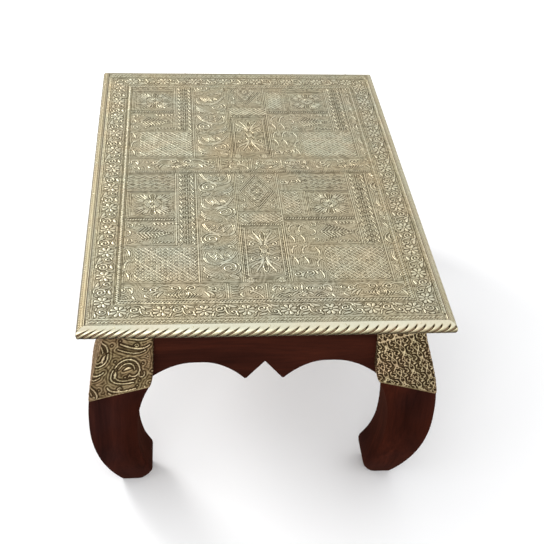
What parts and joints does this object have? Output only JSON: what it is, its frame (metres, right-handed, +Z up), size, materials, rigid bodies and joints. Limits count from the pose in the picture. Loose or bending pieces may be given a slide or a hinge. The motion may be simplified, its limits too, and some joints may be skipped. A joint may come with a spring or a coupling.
{
  "type": "low table",
  "caption": "Low rectangular table with a fixed embossed-brass-clad top, rope-twist brass edge, shaped wooden aprons and thick inward-curving legs clad in brass above the knee.",
  "frame": {"origin": "on the floor under the middle of the top", "axes": "+X along the short side of the top, +Y along the long side, +Z up"},
  "size_m": [0.6, 0.88, 0.4],
  "materials": {
    "antique_brass": "embossed, antiqued with dark recesses and polished high spots",
    "aged_brass": "embossed, darker aged finish",
    "dark_wood": "satin lacquer over dark red-brown stain",
    "plain_wood": "unfinished, hidden",
    "screw_steel": "plain"
  },
  "bodies": {
    "root": {"top_panel": "plain_wood", "brass_top_sheet": "antique_brass", "edge_moulding_front": "plain_wood", "edge_cover_front": "antique_brass", "apron_front": "dark_wood", "edge_moulding_back": "plain_wood", "edge_cover_back": "antique_brass", "apron_back": "dark_wood", "edge_moulding_left": "plain_wood", "edge_cover_left": "antique_brass", "apron_left": "dark_wood", "edge_moulding_right": "plain_wood", "edge_cover_right": "antique_brass", "apron_right": "dark_wood", "leg_front_left": "dark_wood", "leg_cladding_front_left": "aged_brass", "leg_front_right": "dark_wood", "leg_cladding_front_right": "aged_brass", "leg_back_left": "dark_wood", "leg_cladding_back_left": "aged_brass", "leg_back_right": "dark_wood", "leg_cladding_back_right": "aged_brass", "screw_block_front": "plain_wood", "block_screw_front_up": "screw_steel", "block_screw_front_out": "screw_steel", "screw_block_back": "plain_wood", "block_screw_back_up": "screw_steel", "block_screw_back_out": "screw_steel", "screw_block_left_front": "plain_wood", "block_screw_left_front_up": "screw_steel", "block_screw_left_front_out": "screw_steel", "screw_block_left_back": "plain_wood", "block_screw_left_back_up": "screw_steel", "block_screw_left_back_out": "screw_steel", "screw_block_right_front": "plain_wood", "block_screw_right_front_up": "screw_steel", "block_screw_right_front_out": "screw_steel", "screw_block_right_back": "plain_wood", "block_screw_right_back_up": "screw_steel", "block_screw_right_back_out": "screw_steel"}
  },
  "joints": []
}
